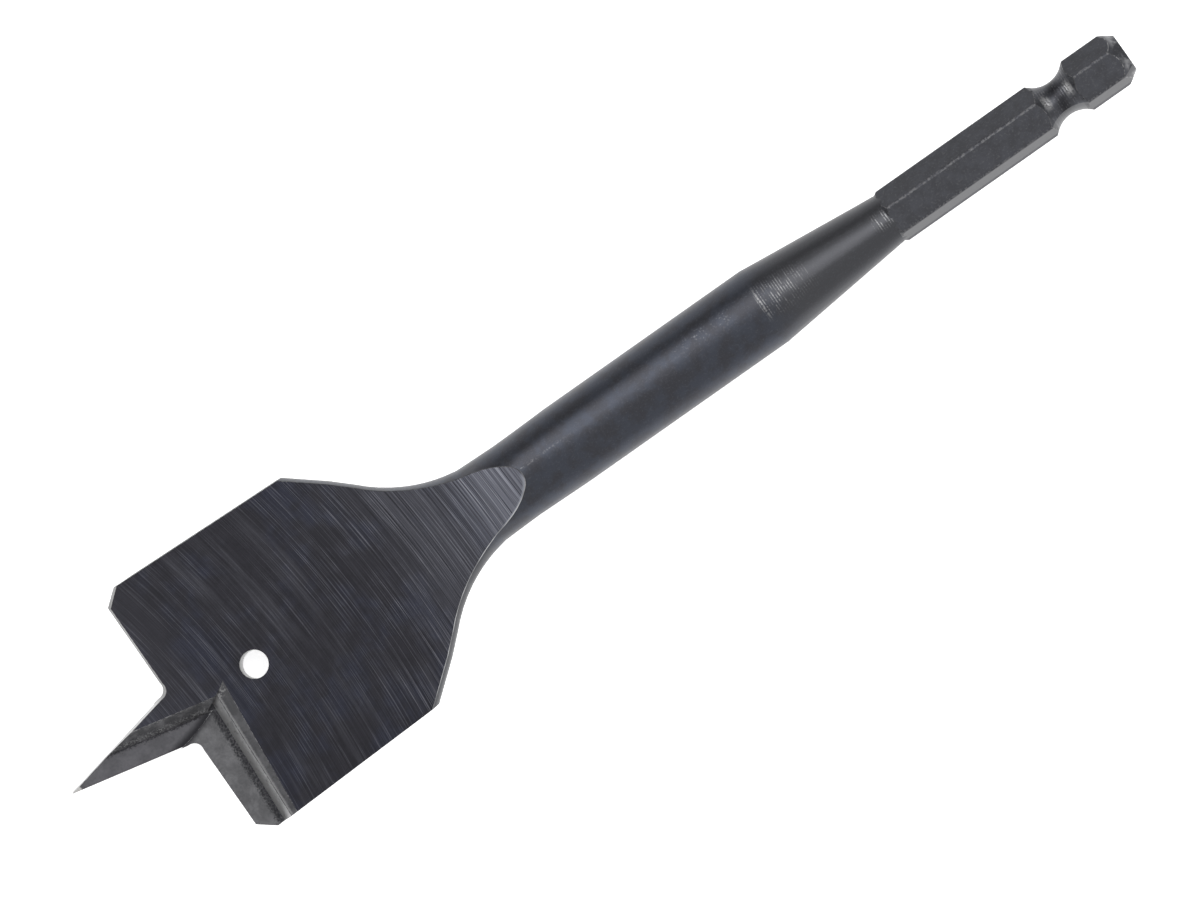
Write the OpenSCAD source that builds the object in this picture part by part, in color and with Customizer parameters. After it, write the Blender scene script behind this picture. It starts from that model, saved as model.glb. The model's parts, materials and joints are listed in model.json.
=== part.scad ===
// Spade drill bit: one piece of steel, forged flat at the front, turned and milled to a hex at the back.
// Sizes are in millimetres and angles in degrees. "Along" is measured from the tip of the point.

/* [Overall] */
// Length from the tip of the point to the end of the hex
overall_length = 154.8; // [148:0.1:170]

/* [Blade] */
// Width across the two cutting corners
blade_width = 35; // [32:0.5:40]
// Thickness between the two ground faces
blade_thickness = 4; // [3.6:0.1:4.6]
// Distance from the tip to the cutting lips
lip_along = 16.2; // [15:0.1:18]
// Distance from the lips to the rear corners
blade_length = 26.2; // [24:0.1:28]
// Angle that each side closes in towards the shank
side_taper = 1.9; // [1:0.1:3]
// Angle that each side leans in behind its leading edge
side_relief = 4.5; // [2:0.5:6]
// Length of the broken cutting corners along the bit
corner_along = 2; // [1:0.1:3]
// Length of the broken cutting corners across the bit
corner_across = 1.7; // [1:0.1:2.5]
// Relief angle behind the lips
lip_relief = 10; // [6:0.5:12]

/* [Point] */
// Half of the point's angle in plan
point_half_angle = 12; // [10:0.5:14]
// Relief angle behind the point's edges
point_relief = 8; // [5:0.5:10]
// Height of the point's cutting edges above the middle of the blade
edge_height = 0.83; // [0.6:0.01:1.1]
// Radius where the point runs into a lip
root_radius = 1.2; // [0.8:0.1:1.6]

/* [Chip channels] */
// Width of the ground land along each edge of the point
point_land = 2.6; // [2:0.1:3]
// Angle that the point's land falls away from its edge
point_rake = 8; // [4:1:12]
// Steepness of the wall behind the point's land
point_wall = 47; // [46:1:55]
// Width of a lip's ground land at the cutting corner
lip_land = 3.05; // [2.8:0.05:3.3]
// Angle that a lip's channel opens away from its lip towards the point
channel_turn = 3; // [2:0.1:4]
// Angle that a lip's channel deepens towards the point
channel_fall = 0.55; // [0.1:0.05:1]
// Angle that a lip's land falls away from its edge
lip_rake = 12; // [9:0.5:14]
// Height of a lip channel's valley above the middle of the blade, at the cutting corner
valley_height = 0.55; // [0.4:0.05:0.7]
// Steepness of the wall behind a lip's valley
channel_wall = 49; // [44:1:52]
// Width of that wall in plan
channel_wall_width = 1.07; // [0.9:0.01:1.2]
// Steepness of the bevel from the wall up to the face
channel_bevel = 14; // [10:1:18]
// Radius of the curved step that parts the point's land from the lip's
step_radius = 28; // [25:1:31]
// Distance that the step's lowest place lies ahead of the lips
step_ahead = 7.5; // [7:0.1:8]
// Distance that the step's lowest place lies off the bit's axis
step_aside = 3.76; // [3.6:0.02:3.9]
// Width that the two channels share along the step
step_lap = 0.35; // [0.2:0.05:0.5]

/* [Hole] */
// Diameter of the hole through the blade
hole_d = 3.5; // [2.5:0.1:4.5]
// Distance from the tip to the hole
hole_along = 27.1; // [26:0.1:32]

/* [Shoulders] */
// Slope of a shoulder next to its rear corner
shoulder_slope = 39.1; // [36:0.1:41]
// Slope of a shoulder further in
shoulder_inner_slope = 42.7; // [42:0.1:45]
// Length along the bit of the outer slope
shoulder_outer_length = 4.65; // [3:0.05:5]
// Radius that sweeps a shoulder into the neck
shoulder_fillet = 19; // [15:0.5:20]
// Radius that the forging left round the shoulders' edges
edge_round = 5; // [4.6:0.1:5.4]

/* [Face grinding] */
// Radius of the run-out where the ground faces leave the shank
runout_radius = 55; // [45:1:70]
// Distance from the tip to the end of the ground faces
runout_along = 66.8; // [66:0.1:68]

/* [Shank] */
// Diameter of the waist behind the blade
waist_d = 10; // [9.8:0.05:10.2]
// Distance from the tip to the place where the waist starts to widen
waist_along = 65.5; // [64.5:0.1:66]
// Angle that the waist opens towards the blade
neck_flare = 1.5; // [0.5:0.1:2.5]
// Length over which the waist widens to the shank
waist_length = 7.5; // [6:0.1:12]
// Diameter of the round shank
shank_d = 10.3; // [10.25:0.05:10.6]
// Distance from the tip to the start of the cone
cone_along = 101.9; // [90:0.1:104]
// Length of the cone
cone_length = 18.2; // [16:0.1:21]

/* [Hex end] */
// Size across the flats
hex_flats = 6.35; // [6.2:0.05:6.5]
// Size across the broken corners
hex_corners = 7.2; // [7:0.05:7.2]
// Length over which the hex rises out of the cone
hex_lead = 0.7; // [0.5:0.05:1]
// Turn of the hex against the blade
hex_turn = 14.5; // [0:0.5:30]
// Width of the detent groove at the hex's corners
groove_width = 5.4; // [4.5:0.1:6]
// Diameter at the bottom of the detent groove
groove_d = 4.65; // [4.3:0.05:5]
// Distance from the end of the hex to the middle of the groove
groove_from_end = 9.6; // [9:0.1:11]
// Length of the chamfer at the end
end_chamfer = 1.7; // [1:0.1:2.5]
// Diameter of the flat end
end_d = 4.9; // [4.4:0.1:5.6]

/* [Hidden] */
$fn = 96;

// The whole bit, laid down as it comes to rest: on the widening waist and on one corner of a chip channel
module spade_bit() {
    color("dimgray")
        translate([-overall_length * cos(rest_pitch) / 2, 0, rest_height])
            rotate([-rest_roll, -rest_pitch, 0])
                bit();
}

// Room that a cutter reaches past the steel, and length that two pieces of one form share
spare = 10;
lap = 1;

half_width = blade_width / 2;
half_thick = blade_thickness / 2;
waist_r = waist_d / 2;
shank_r = shank_d / 2;

// Rear corner of the blade, and the knee where a shoulder turns to its inner slope
rear_along = lip_along + blade_length;
corner_end = lip_along + corner_along;
rear_half = half_width - (rear_along - corner_end) * tan(side_taper);
knee_along = rear_along + shoulder_outer_length;
knee_half = rear_half - shoulder_outer_length * tan(shoulder_slope);

// The fillet crosses the inner slope at a slight angle, so that the two cuts meet along a clean line
cross_angle = 3.5;
fillet_angle = shoulder_inner_slope + cross_angle;
fillet_low = waist_r - 0.05;
join_half = fillet_low + shoulder_fillet * (1 - cos(fillet_angle));
join_along = knee_along + (knee_half - join_half) / tan(shoulder_inner_slope);
fillet_along = join_along + shoulder_fillet * sin(fillet_angle);
chord_half = shoulder_fillet * sin(cross_angle);

// Half of the forging's thickness, less than its edge radius, and all taken down by the faces' grinding
forged_half = edge_round - 0.6;

// Face grinding: flat to runout_start, then an arc that leaves the steel at the waist
runout_rise = waist_r - half_thick;
runout_start = runout_along - sqrt(pow(runout_radius, 2) - pow(runout_radius - runout_rise, 2));

// Sides of the blade: half of the width at a place along and at a height, on the side of the cutting corner
corner_height = valley_height + (lip_land - corner_along) * tan(lip_rake);
side_fall = tan(side_taper) / cos(side_relief);
function side_half(along, height) =
    half_width - (along - corner_end) * side_fall + (height - corner_height) * tan(side_relief);

// Relief: the flanks of the point and the lips are one prism whose direction leans by both relief angles
lean = [-tan(lip_relief), -tan(point_relief)];
lean_angle = atan(norm(lean));
lean_way = lean / norm(lean);

// A place on the outline at the height of the point's edges, laid into the leaning prism's own plane
function on_lean(q) = q - (1 - cos(lean_angle)) * (q * lean_way) * lean_way;

// The point's edge starts ahead of the tip, because relief on both flanks brings the tip back to zero
edge_start = -edge_height * (tan(point_relief) / tan(point_half_angle) + tan(lip_relief));
function edge_half(along) = (along - edge_start) * tan(point_half_angle);

// Middle of the radius where the point runs into a lip
root_along = lip_along - root_radius;
root_half = edge_half(root_along) + root_radius / cos(point_half_angle);

// Middle of the curved step between the point's land and the lip's land, in plan
step_middle = [lip_along - step_ahead, step_radius - step_aside];

// Lip channel: top of the wall behind the valley, and the line where the bevel comes out on the face
wall_top = valley_height + channel_wall_width * tan(channel_wall);
bevel_spread = sin(channel_fall) / tan(channel_bevel);
face_turn = channel_turn + atan(bevel_spread);
channel_width = channel_wall_width + (half_thick * cos(channel_fall) - wall_top) / tan(channel_bevel);
face_edge = lip_along + lip_land + channel_width / (cos(channel_turn) - bevel_spread * sin(channel_turn));

// Hex end: the cone stops a little outside the flats and runs down under them, while the corners rise
cone_end = cone_along + cone_length;
hex_start = cone_end + hex_lead;
cone_step = 0.12;
flat_r = hex_flats / 2;
hex_corner_r = hex_corners / 2;
groove_rise = hex_corner_r - groove_d / 2;
groove_radius = (pow(groove_width / 2, 2) + pow(groove_rise, 2)) / (2 * groove_rise);

// Rest: the waist's slope sets the pitch, and the bit then rolls until a channel's outer corner touches
rest_pitch = atan((shank_r - waist_r) / waist_length);
rest_height = waist_r * cos(rest_pitch) - waist_along * sin(rest_pitch);
rest_inset = (side_fall * (face_edge - corner_end) - tan(side_relief) * (half_thick - corner_height))
    / (1 - side_fall * tan(face_turn));
rest_along = face_edge + rest_inset * tan(face_turn);
rest_half = side_half(rest_along, half_thick);
rest_reach = waist_r - (waist_along - rest_along) * tan(rest_pitch);
rest_roll = asin(rest_reach / norm([rest_half, half_thick])) - atan2(half_thick, rest_half);

// The bit is the same when it is turned half round about its axis
module both_sides() {
    for (turn = [0, 180])
        rotate([turn, 0, 0])
            children();
}

// Turns a profile of radius against distance along into a solid about the bit's axis
module turned() {
    rotate([0, 90, 0])
        rotate_extrude()
            children();
}

// Round part: waist, shank and cone
module shank() {
    neck_overlap = 6;
    neck_start = fillet_along - neck_overlap;
    turned()
        polygon([
            [0, neck_start],
            [waist_r + (waist_along - neck_start) * tan(neck_flare), neck_start],
            [waist_r, waist_along],
            [shank_r, waist_along + waist_length],
            [shank_r, cone_along],
            [flat_r + cone_step, cone_end],
            [flat_r - cone_step, cone_end + 2 * hex_lead],
            [0, cone_end + 2 * hex_lead]
        ]);
}

// Hex end: flats, broken corners, detent groove and end chamfer
module hex_end() {
    intersection() {
        rotate([hex_turn + 30, 0, 0])
            rotate([0, 90, 0])
                cylinder(h = overall_length + spare, r = flat_r / cos(30), $fn = 6);
        turned()
            difference() {
                polygon([
                    [0, cone_end - lap],
                    [flat_r - cone_step, cone_end - lap],
                    [flat_r - cone_step, cone_end],
                    [hex_corner_r, hex_start],
                    [hex_corner_r, overall_length - end_chamfer],
                    [end_d / 2, overall_length],
                    [0, overall_length]
                ]);
                translate([groove_d / 2 + groove_radius, overall_length - groove_from_end])
                    circle(groove_radius);
            }
    }
}

// Section of the cutter that leaves a rounded edge: the edge lies at zero, the steel on the positive side
module rounding_section(reach) {
    cut_half = (forged_half + edge_round) / 2;
    difference() {
        translate([-reach, -cut_half])
            square([reach + edge_round, 2 * cut_half]);
        translate([edge_round, 0])
            circle(edge_round);
    }
}

// Straight stretch of a rounded shoulder, from one distance before a place to another after it
module rounded_slope(along, half, slope, before, after) {
    translate([along, -half, 0])
        rotate([0, 0, slope])
            translate([-before, 0, 0])
                rotate([90, 0, 90])
                    linear_extrude(before + after)
                        rounding_section(2 * spare);
}

// Concave sweep of a rounded shoulder into the neck
module rounded_fillet() {
    past_neck = 10;
    past_join = 5;
    translate([fillet_along, -fillet_low - shoulder_fillet, 0])
        rotate([0, 0, 90 - past_neck])
            rotate_extrude(angle = past_neck + fillet_angle + past_join)
                translate([shoulder_fillet, 0])
                    rounding_section(shoulder_fillet - lap);
}

// Forged flat before grinding: a block with rounded shoulders
module forged_flat() {
    difference() {
        translate([-lap, -half_width - lap, -forged_half])
            cube([fillet_along + lap, blade_width + 2 * lap, 2 * forged_half]);
        both_sides()
            rounded_slope(rear_along, rear_half, shoulder_slope, spare,
                shoulder_outer_length / cos(shoulder_slope) + lap);
        both_sides()
            rounded_slope(knee_along, knee_half, shoulder_inner_slope, 2 * lap,
                (knee_half - join_half) / sin(shoulder_inner_slope) + chord_half);
        both_sides()
            rounded_fillet();
    }
}

// Grinding wheel's cut over one face
module face_cut() {
    wheel = [runout_start, half_thick + runout_radius];
    reach = runout_along - runout_start + spare / 2;
    rotate([90, 0, 0])
        linear_extrude(blade_width + 2 * spare, center = true) {
            translate([-spare, half_thick])
                square([runout_start + spare, spare]);
            intersection() {
                translate([runout_start, half_thick])
                    square([reach, spare]);
                translate(wheel)
                    circle(runout_radius);
            }
        }
}

// Cut along one side of the blade, which leans in below its cutting corner
module side_cut() {
    translate([corner_end, -half_width, corner_height])
        rotate([side_relief, 0, 0])
            rotate([0, 0, side_taper])
                translate([-3 * spare, -2 * spare, -2 * spare])
                    cube([8 * spare, 2 * spare, 4 * spare]);
}

// Notch beside the point: the point's edge, the root, the lip and the broken corner, all with relief
module notch_cut() {
    overlap = 1.015;
    foot = [root_along + root_radius * sin(point_half_angle),
        -root_half + root_radius * cos(point_half_angle)];
    lip_end = [lip_along, -half_width + corner_across];
    outline = [
        [-spare, lip_end[1] - spare],
        lip_end + [2 * corner_along, -spare],
        lip_end + 2 * [corner_along, -corner_across],
        lip_end,
        [lip_along, -root_half],
        foot,
        [-spare, -edge_half(-spare)]
    ];
    translate([0, 0, edge_height])
        rotate(a = lean_angle, v = [-lean[1], lean[0], 0])
            linear_extrude(4 * spare, center = true) {
                polygon([for (q = outline) on_lean(q)]);
                translate(on_lean([root_along, -root_half]))
                    circle(root_radius * overlap);
            }
}

// Channel ground along the point's edge, up to the curved step
module point_channel() {
    valley = edge_height - point_land * tan(point_rake);
    intersection() {
        translate([edge_start, 0, 0])
            rotate([0, 0, -point_half_angle])
                translate([-spare, 0, 0])
                    rotate([90, 0, 90])
                        linear_extrude(4 * spare)
                            polygon([
                                [-spare, edge_height + spare * tan(point_rake)],
                                [point_land, valley],
                                [point_land + spare, valley + spare * tan(point_wall)],
                                [-spare, valley + spare * tan(point_wall)]
                            ]);
        translate([step_middle[0], step_middle[1], 0])
            cylinder(h = spare, r = step_radius);
    }
}

// Channel ground behind a lip: its land, the wall behind the valley and the bevel up to the face
module lip_channel() {
    difference() {
        translate([lip_along + lip_land, -half_width, 0])
            rotate([0, 0, -channel_turn])
                rotate([90 - channel_fall, 0, 0])
                    linear_extrude(6 * spare, center = true)
                        polygon([
                            [-spare, valley_height + spare * tan(lip_rake)],
                            [0, valley_height],
                            [channel_wall_width, wall_top],
                            [spare, wall_top + (spare - channel_wall_width) * tan(channel_bevel)],
                            [spare, 2 * spare],
                            [-spare, 2 * spare]
                        ]);
        translate([step_middle[0], step_middle[1], 0])
            cylinder(h = 3 * spare, r = step_radius - step_lap);
    }
}

// Hole through the blade
module hole() {
    translate([hole_along, 0, 0])
        cylinder(h = 2 * spare, d = hole_d, center = true);
}

// The bit about its own axis, with its tip at zero
module bit() {
    difference() {
        union() {
            shank();
            hex_end();
            forged_flat();
        }
        both_sides()
            face_cut();
        both_sides()
            side_cut();
        both_sides()
            notch_cut();
        both_sides()
            point_channel();
        both_sides()
            lip_channel();
        hole();
    }
}

spade_bit();
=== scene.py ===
"""Spade drill bit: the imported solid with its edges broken, finished as dark ground steel on a pale floor."""
import json
import math

import bmesh
import bpy
from mathutils import Matrix, Vector


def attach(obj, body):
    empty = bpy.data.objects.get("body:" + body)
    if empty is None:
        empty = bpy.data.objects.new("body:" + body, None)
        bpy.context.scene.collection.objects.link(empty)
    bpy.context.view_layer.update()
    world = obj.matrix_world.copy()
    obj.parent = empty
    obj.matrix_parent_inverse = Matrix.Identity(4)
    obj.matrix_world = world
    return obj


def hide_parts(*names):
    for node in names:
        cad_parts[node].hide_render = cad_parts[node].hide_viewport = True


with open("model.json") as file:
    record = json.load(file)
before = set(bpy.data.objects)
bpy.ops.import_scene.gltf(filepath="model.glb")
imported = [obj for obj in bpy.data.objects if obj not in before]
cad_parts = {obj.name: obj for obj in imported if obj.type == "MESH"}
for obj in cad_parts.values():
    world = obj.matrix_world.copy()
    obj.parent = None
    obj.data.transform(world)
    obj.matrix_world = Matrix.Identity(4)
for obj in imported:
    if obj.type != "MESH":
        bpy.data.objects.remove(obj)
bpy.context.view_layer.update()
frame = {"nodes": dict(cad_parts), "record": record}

MM = 0.001

# The bit's own frame: x along it from the tip, y across the blade, z out of the blade's front face
mounts = {mount["name"]: mount for mount in frame["record"]["mounts"]}
along = Vector(mounts["hex_drive"]["axis"]).normalized()
front = Vector(mounts["blade_hole"]["axis"]).normalized()
across = front.cross(along)
turn = Matrix((along, across, front)).transposed()
bit_node = frame["nodes"]["spade_bit"]
end = Vector(mounts["hex_drive"]["pos_m"])
reach = [vertex.co.dot(along) for vertex in bit_node.data.vertices]
bit_length = max(reach) - min(reach)
tip = end - along * bit_length

# Sizes of the bit that the finishes follow, in millimetres and radians
END_ALONG = bit_length / MM
HALF_THICK = mounts["blade_hole"]["dims"]["length_mm"] / 2
HEX_START = END_ALONG - mounts["hex_drive"]["dims"]["length_mm"]
HOLE_ALONG = 27.1
HOLE_RADIUS = mounts["blade_hole"]["dims"]["r_mm"]
HALF_WIDTH = 17.5
LIP_ALONG = 16.2
LIP_LAND = 3.05
CHANNEL_TURN = math.radians(3)
CHANNEL_END = 24
WALL_WIDTH = 1.07
POINT_HALF_ANGLE = math.radians(12)
POINT_EDGE_START = -0.695
POINT_LAND = 2.6
POINT_WALL_TOP = 4.03
STEP_MIDDLE = (8.7, 24.24)
STEP_RADIUS = 28
RUNOUT_START = 48.88
RUNOUT_RADIUS = 55
RUNOUT_END = 66.8
SHOULDER_START = 42.4
WAIST_ALONG = 65.5
WAIST_RADIUS = 5
NECK_FLARE = math.tan(math.radians(1.5))
CONE_START = 101.9
CONE_END = 120.1
GROOVE_MIDDLE = 145.2
RIDGE_RADIUS = 3.6
SIDE_FLAT_START = math.radians(-44.5)

# Camera: the whole image is 1200 by 900, and the bit's axis climbs across it
IMAGE_WIDTH = 1200
PIXELS_PER_MM = 8.324
AXIS_CLIMB = math.radians(35.13)
IMAGE_MIDDLE = (75.885, -2.773)
VIEW_TO_HEX = math.radians(2.98)
VIEW_TO_SIDE = math.radians(2.46)
CAMERA_DISTANCE = 1.208
SENSOR_WIDTH = 36
CAMERA_REACH = 10


def in_bit(point):
    """A point of the row frame, in metres, as millimetres in the bit's own frame."""
    return turn.transposed() @ (point - tip) / MM


def from_bit(x, y, z):
    """A point of the bit's own frame, in millimetres, in the row frame, in metres."""
    return tip + turn @ Vector((x, y, z)) * MM


def view_axes():
    """The camera's right, up and backward directions."""
    back = turn @ Vector((math.sin(VIEW_TO_HEX), -math.sin(VIEW_TO_SIDE), 1)).normalized()
    flat_along = (along - back * along.dot(back)).normalized()
    flat_across = back.cross(flat_along)
    right = flat_along * math.cos(AXIS_CLIMB) - flat_across * math.sin(AXIS_CLIMB)
    return right, back.cross(right), back


def place_camera():
    """A camera that looks almost square at the blade's front face."""
    right, up, back = view_axes()
    camera = bpy.data.objects.new("camera", bpy.data.cameras.new("camera"))
    bpy.context.scene.collection.objects.link(camera)
    camera.matrix_world = Matrix((right, up, back)).transposed().to_4x4()
    camera.location = from_bit(*IMAGE_MIDDLE, 0) + back * CAMERA_DISTANCE
    camera.data.sensor_width = SENSOR_WIDTH
    camera.data.lens = SENSOR_WIDTH * CAMERA_DISTANCE * PIXELS_PER_MM / MM / IMAGE_WIDTH
    camera.data.clip_end = CAMERA_REACH
    bpy.context.scene.camera = camera


# Modelling

# Edge breaks in millimetres, the steps of each, and the least corner between two faces that gets one
EDGE_BREAK = 0.05
EDGE_STEPS = 2
RIDGE_BREAK = 0.06
RIDGE_STEPS = 4
LEAST_CORNER = math.radians(14)
KEEP_FINISH = -1

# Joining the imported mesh: the gap that is closed, and the corners that count as none
MERGE_GAP = 0.002
FLAT_SEAM = math.radians(0.2)
SMOOTH_SEAM = math.radians(6)

# Telling the solid's faces apart: shares of a face's normal, and distances in millimetres
FLAT = 0.9
LEVEL = 0.97
STEEP = 0.5
LEAN = 0.1
HEX_SHOULDER = 0.3
RUN_ALONG = 0.99
FACE_GAP = 0.03
HEX_FACE_START = HEX_START + 0.2
GROUND_END = RUNOUT_END + 1


def only(piece):
    """Makes one object the only selected one."""
    bpy.ops.object.select_all(action="DESELECT")
    piece.select_set(True)
    bpy.context.view_layer.objects.active = piece


def ground_height(x):
    """Height of the ground face above the middle of the blade: flat, then rising in the run-out's arc."""
    past = min(max(x - RUNOUT_START, 0), RUNOUT_RADIUS)
    return HALF_THICK + RUNOUT_RADIUS - math.sqrt(RUNOUT_RADIUS ** 2 - past ** 2)


def finish_of(face, corners):
    """The finish that a face of the solid takes, from its place and normal in the bit's frame."""
    normal = turn.transposed() @ face.normal
    place = in_bit(face.center)
    side = 1 if place.z > 0 else -1
    outward = normal.z * side
    height_gap = max(abs(corner.z * side - ground_height(corner.x)) for corner in corners)
    if place.x > HEX_FACE_START or (place.x > CONE_END and normal.x < -HEX_SHOULDER):
        return "milled_hex"
    if outward > FLAT and height_gap < FACE_GAP and place.x < GROUND_END:
        return "ground_face"
    if place.x > SHOULDER_START:
        return "turned_bar"
    if outward < STEEP or place.x > CHANNEL_END:
        return "cut_flank"
    if normal.x > LEAN or (outward > LEVEL and normal.x > -LEAN):
        return "ground_land"
    if normal.x < -STEEP:
        return "lip_wall"
    if outward > FLAT:
        return "lip_bevel"
    return "point_wall"


def true_corner(edge):
    """True for an outside corner of the solid, which a real bit has slightly rounded off."""
    joined = not edge.smooth and len(edge.link_faces) == 2
    return joined and edge.is_convex and edge.calc_face_angle() > LEAST_CORNER


def hex_ridge(edge):
    """True for an edge that runs along the hex, beside one of its turned corners."""
    first, second = [in_bit(vertex.co) for vertex in edge.verts]
    run = (second - first).normalized()
    return min(first.x, second.x) > HEX_START and abs(run.x) > RUN_ALONG


def break_edges(piece, chosen, width, steps, finish):
    """Bevels the chosen edges of the piece."""
    bpy.ops.object.mode_set(mode="EDIT")
    bpy.ops.mesh.select_mode(type="EDGE")
    bpy.ops.mesh.select_all(action="DESELECT")
    mesh = bmesh.from_edit_mesh(piece.data)
    for edge in mesh.edges:
        if chosen(edge):
            edge.select_set(True)
    bmesh.update_edit_mesh(piece.data)
    bpy.ops.mesh.bevel(offset_type="OFFSET", offset=width * MM, segments=steps, profile=0.5,
                       affect="EDGES", clamp_overlap=False, material=finish)
    bpy.ops.object.mode_set(mode="OBJECT")


def join_up(piece):
    """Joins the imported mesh's faces into one skin, with the solid's true edges marked sharp."""
    bpy.ops.object.mode_set(mode="EDIT")
    bpy.ops.mesh.select_mode(type="EDGE")
    bpy.ops.mesh.select_all(action="SELECT")
    bpy.ops.mesh.customdata_custom_splitnormals_clear()
    bpy.ops.mesh.mark_sharp(clear=True)
    bpy.ops.mesh.select_all(action="DESELECT")
    bpy.ops.mesh.select_non_manifold()
    bpy.ops.mesh.mark_sharp()
    bpy.ops.mesh.select_all(action="SELECT")
    bpy.ops.mesh.remove_doubles(threshold=MERGE_GAP * MM)
    bpy.ops.mesh.dissolve_limited(angle_limit=FLAT_SEAM, delimit={"SHARP"})
    mesh = bmesh.from_edit_mesh(piece.data)
    for edge in mesh.edges:
        if len(edge.link_faces) == 2 and edge.calc_face_angle() < SMOOTH_SEAM:
            edge.smooth = True
    bmesh.update_edit_mesh(piece.data)
    bpy.ops.object.mode_set(mode="OBJECT")


def finished_bit(finishes):
    """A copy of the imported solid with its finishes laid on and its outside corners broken."""
    piece = bpy.data.objects.new("finished_bit", bit_node.data.copy())
    bpy.context.scene.collection.objects.link(piece)
    piece.data.materials.clear()
    only(piece)
    bpy.ops.object.shade_smooth()
    join_up(piece)
    names = list(finishes)
    for name in names:
        piece.data.materials.append(finishes[name])
    places = [in_bit(vertex.co) for vertex in piece.data.vertices]
    for face in piece.data.polygons:
        face.material_index = names.index(finish_of(face, [places[corner] for corner in face.vertices]))
    break_edges(piece, lambda edge: true_corner(edge) and hex_ridge(edge),
                RIDGE_BREAK, RIDGE_STEPS, KEEP_FINISH)
    break_edges(piece, lambda edge: true_corner(edge) and not hex_ridge(edge),
                EDGE_BREAK, EDGE_STEPS, names.index("worn_edge"))
    bpy.ops.object.mode_set(mode="EDIT")
    bpy.ops.mesh.select_all(action="SELECT")
    bpy.ops.mesh.quads_convert_to_tris(quad_method="BEAUTY", ngon_method="BEAUTY")
    bpy.ops.object.mode_set(mode="OBJECT")
    bpy.ops.object.modifier_add(type="WEIGHTED_NORMAL")
    piece.modifiers[-1].keep_sharp = True
    bpy.ops.object.modifier_apply(modifier=piece.modifiers[-1].name)
    return piece


# Shader nodes

def join(tree, source, target):
    """Feeds a socket, or sets its plain value."""
    if isinstance(source, (int, float)):
        target.default_value = source
    elif isinstance(source, tuple):
        target.default_value = (*source, 1) if target.type == "RGBA" else source
    else:
        tree.links.new(source, target)


def calc(tree, operation, a, b=0.0):
    """The result of a Math node on sockets or numbers."""
    made = tree.nodes.new("ShaderNodeMath")
    made.operation = operation
    join(tree, a, made.inputs[0])
    join(tree, b, made.inputs[1])
    return made.outputs[0]


def plus(tree, a, b):
    """Two values added."""
    return calc(tree, "ADD", a, b)


def minus(tree, a, b):
    """The second value taken from the first."""
    return calc(tree, "SUBTRACT", a, b)


def product(tree, first, *others):
    """Several values multiplied."""
    for other in others:
        first = calc(tree, "MULTIPLY", first, other)
    return first


def largest(tree, first, *others):
    """The largest of several values."""
    for other in others:
        first = calc(tree, "MAXIMUM", first, other)
    return first


def distance(tree, a, b):
    """The distance that two steps at right angles make together."""
    return calc(tree, "SQRT", plus(tree, product(tree, a, a), product(tree, b, b)))


def ramp(tree, value, low, high, to_low=0.0, to_high=1.0):
    """A value mapped smoothly from one span to another, and held at its ends."""
    made = tree.nodes.new("ShaderNodeMapRange")
    made.interpolation_type = "SMOOTHSTEP"
    slots = ("Value", "From Min", "From Max", "To Min", "To Max")
    for slot, given in zip(slots, (value, low, high, to_low, to_high)):
        join(tree, given, made.inputs[slot])
    return made.outputs["Result"]


def near(tree, value, middle, width):
    """A mask that is 1 at the middle and falls to 0 at the width on each side."""
    gap = calc(tree, "ABSOLUTE", minus(tree, value, middle))
    return ramp(tree, gap, 0.0, width, 1.0, 0.0)


# A Mix node's sockets for colours, which share their names with those for other kinds
MIX_FACTOR = 0
MIX_FIRST = 6
MIX_SECOND = 7
MIX_RESULT = 2


def blend(tree, factor, a, b):
    """A mix of two colours."""
    made = tree.nodes.new("ShaderNodeMix")
    made.data_type = "RGBA"
    join(tree, factor, made.inputs[MIX_FACTOR])
    join(tree, a, made.inputs[MIX_FIRST])
    join(tree, b, made.inputs[MIX_SECOND])
    return made.outputs[MIX_RESULT]


# Spans of a noise over which a ramp shows nearly all of it, half of it, more than half or a little
NOISE_SPAN = (0.3, 0.7)
EVEN_SPAN = (0.35, 0.65)
WIDE_SPAN = (0.35, 0.6)
SPARSE_SPAN = (0.5, 0.75)


def noise(tree, vector, scale=1.0, detail=2.0, roughness=0.5):
    """Soft noise, which lies mostly between 0.3 and 0.7."""
    made = tree.nodes.new("ShaderNodeTexNoise")
    for slot, given in (("Vector", vector), ("Scale", scale), ("Detail", detail), ("Roughness", roughness)):
        join(tree, given, made.inputs[slot])
    return made.outputs["Fac"]


def vector_of(tree, *parts):
    """A vector made of three values."""
    made = tree.nodes.new("ShaderNodeCombineXYZ")
    for slot, part in enumerate(parts):
        join(tree, part, made.inputs[slot])
    return made.outputs[0]


def share_along(tree, vector, direction):
    """How far a vector reaches along a direction."""
    made = tree.nodes.new("ShaderNodeVectorMath")
    made.operation = "DOT_PRODUCT"
    tree.links.new(vector, made.inputs[0])
    made.inputs[1].default_value = direction
    return made.outputs["Value"]


def bit_place(tree):
    """Object coordinates turned into the bit's own frame, in millimetres."""
    source = tree.nodes.new("ShaderNodeTexCoord")
    made = tree.nodes.new("ShaderNodeMapping")
    made.vector_type = "TEXTURE"
    made.inputs["Location"].default_value = tip
    made.inputs["Rotation"].default_value = turn.to_euler()
    made.inputs["Scale"].default_value = (MM, MM, MM)
    tree.links.new(source.outputs["Object"], made.inputs["Vector"])
    return made.outputs["Vector"]


def parts_of(tree, vector):
    """The x, y and z of a vector."""
    split = tree.nodes.new("ShaderNodeSeparateXYZ")
    tree.links.new(vector, split.inputs[0])
    return tuple(split.outputs)


def turned_across(tree, y, z):
    """Distance across the blade, which is the same on both faces when the bit is turned half round."""
    return product(tree, y, calc(tree, "SIGN", z))


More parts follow.
